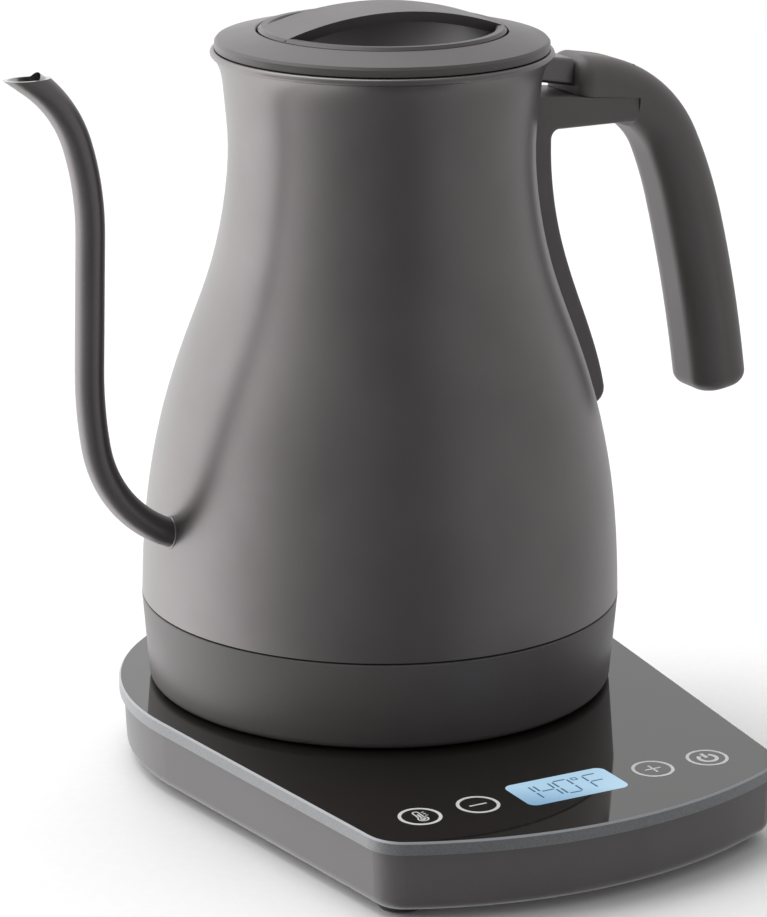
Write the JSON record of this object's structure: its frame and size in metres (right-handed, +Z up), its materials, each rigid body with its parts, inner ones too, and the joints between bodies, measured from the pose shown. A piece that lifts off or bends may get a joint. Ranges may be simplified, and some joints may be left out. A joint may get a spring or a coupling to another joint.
{
  "type": "gooseneck kettle",
  "caption": "Electric gooseneck kettle with a thin bent pouring spout, lift-off lid and side handle, standing on a glass-topped touch power base with a lit display.",
  "frame": {"origin": "on the kettle's axis, at the height of the surface that the base's feet stand on", "axes": "+Z up along the kettle's axis, +X towards the handle, the spout towards -X, the base's controls towards -Y"},
  "size_m": [0.2267, 0.2003, 0.2106],
  "materials": {
    "graphite_coat": "satin graphite powder coat on stainless steel",
    "graphite_plastic": "fine matt graphite moulding",
    "base_plastic": "fine matt dark grey moulding",
    "black_plastic": "matt black moulding",
    "black_glass": "toughened glass printed black on the back, with a ground edge",
    "rubber": "matt black rubber",
    "silicone": "soft grey silicone",
    "steel": "bare satin stainless steel",
    "screw_steel": "bright steel",
    "display": "pale blue lit liquid crystal display",
    "light_guide": "milky acrylic",
    "circuit_board": "green solder mask",
    "relay_case": "glossy black case",
    "transformer": "yellow winding tape",
    "aluminium": "bare aluminium",
    "contact_brass": "bare brass"
  },
  "bodies": {
    "power_base": {"base_tray": "base_plastic", "base_frame": "black_plastic", "glass_top": "black_glass", "base_feet": "rubber", "base_screws": "screw_steel", "cord_grommet": "rubber", "display_module": "display", "display_backlight": "light_guide", "touch_board": "circuit_board", "key_springs": "screw_steel", "power_board": "circuit_board", "power_relay": "relay_case", "supply_transformer": "transformer", "filter_capacitors": "aluminium", "beeper": "black_plastic", "base_plug": "black_plastic", "plug_contacts": "contact_brass", "earth_pin": "contact_brass"},
    "kettle_socket": {"socket_housing": "black_plastic", "socket_rings": "contact_brass", "socket_earth_tube": "contact_brass"},
    "kettle": {"body_shell": "graphite_coat", "body_floor": "steel", "spout_tube": "graphite_coat", "bottom_ring": "graphite_plastic", "seam_band": "rubber", "bottom_cover": "black_plastic", "cover_screws": "screw_steel", "heat_spreader": "aluminium", "heating_element": "aluminium", "thermal_cutout": "contact_brass", "water_probe": "steel", "probe_seal": "silicone", "handle_grip": "graphite_plastic", "handle_spine": "graphite_plastic", "handle_neck": "graphite_coat", "handle_screws": "screw_steel"},
    "lid_carrier": {"lid_cup": "black_plastic", "lid_seal": "silicone"},
    "lid_top": {"lid_ring": "graphite_plastic", "lid_insert": "graphite_plastic", "lid_screw": "screw_steel"}
  },
  "joints": [
    {"name": "kettle_lift", "type": "slide", "parent": "power_base", "child": "kettle_socket", "axis": [0, 0, 1], "range_m": [0, 0.15]},
    {"name": "kettle_swivel", "type": "hinge", "parent": "kettle_socket", "child": "kettle", "pos_m": [0, 0, 0.03], "axis": [0, 0, 1], "continuous": true},
    {"name": "lid_lift", "type": "slide", "parent": "kettle", "child": "lid_carrier", "axis": [0, 0, 1], "range_m": [0, 0.08]},
    {"name": "lid_turn", "type": "hinge", "parent": "lid_carrier", "child": "lid_top", "pos_m": [0, 0, 0.2], "axis": [0, 0, 1], "continuous": true}
  ]
}
